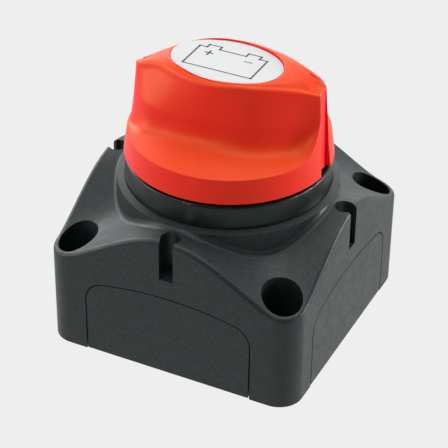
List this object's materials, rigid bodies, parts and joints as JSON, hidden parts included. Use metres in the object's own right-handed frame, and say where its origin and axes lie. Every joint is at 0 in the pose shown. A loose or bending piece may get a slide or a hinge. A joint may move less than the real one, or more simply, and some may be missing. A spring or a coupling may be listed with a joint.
{
  "type": "battery switch",
  "caption": "Rotary battery isolator: square saddle-topped housing, round collar, S-shaped red knob with oval label, snap-out cable plates.",
  "frame": {"origin": "centre of the housing's rear face, on the mounting plane, under the knob's axis", "axes": "+Z out of the panel along the knob's turning axis; +X along the knob's grip in its off position; -Y is the front side of the label"},
  "size_m": [0.069, 0.069, 0.073],
  "materials": {
    "housing_plastic": "fine spark-eroded texture, satin",
    "collar_plastic": "smooth moulded, satin",
    "rotor_plastic": "smooth moulded",
    "knob_plastic": "fine moulded texture, satin",
    "label_film": "printed film, matt",
    "seal_rubber": "moulded",
    "stainless_steel": "bright, lightly brushed",
    "tinned_copper": "bright tin plate",
    "copper": "bare copper",
    "silver_contact": "silver alloy"
  },
  "bodies": {
    "body": {"housing": "housing_plastic", "switch_collar": "collar_plastic", "chamber_gasket": "seal_rubber", "terminal_plate": "collar_plastic", "plate_screws": "stainless_steel", "stud_front": "tinned_copper", "stud_rear": "tinned_copper", "stud_washers": "stainless_steel", "stud_lock_washers": "stainless_steel", "stud_nuts": "stainless_steel", "thrust_washer": "rotor_plastic"},
    "rotor": {"rotor_shaft": "rotor_plastic", "shaft_seal": "seal_rubber", "contact_bridge": "copper", "bridge_contacts": "silver_contact", "bridge_spring": "stainless_steel", "knob": "knob_plastic", "knob_label": "label_film", "knob_screw": "stainless_steel"},
    "plate_front": {"side_plate_front": "housing_plastic"},
    "plate_right": {"side_plate_right": "housing_plastic"},
    "plate_back": {"side_plate_back": "housing_plastic"},
    "plate_left": {"side_plate_left": "housing_plastic"},
    "cover": {"back_cover": "housing_plastic"}
  },
  "joints": [
    {"name": "knob_turn", "type": "hinge", "parent": "body", "child": "rotor", "pos_m": [0, 0, 0.048], "axis": [0, 0, 1], "range_deg": [-90, 0]},
    {"name": "plate_front_release", "type": "slide", "parent": "body", "child": "plate_front", "axis": [0, -1, 0], "range_m": [0, 0.012]},
    {"name": "plate_right_release", "type": "slide", "parent": "body", "child": "plate_right", "axis": [1, 0, 0], "range_m": [0, 0.012]},
    {"name": "plate_back_release", "type": "slide", "parent": "body", "child": "plate_back", "axis": [0, 1, 0], "range_m": [0, 0.012]},
    {"name": "plate_left_release", "type": "slide", "parent": "body", "child": "plate_left", "axis": [-1, 0, 0], "range_m": [0, 0.012]},
    {"name": "back_cover_release", "type": "slide", "parent": "body", "child": "cover", "axis": [0, 0, -1], "range_m": [0, 0.015]}
  ]
}
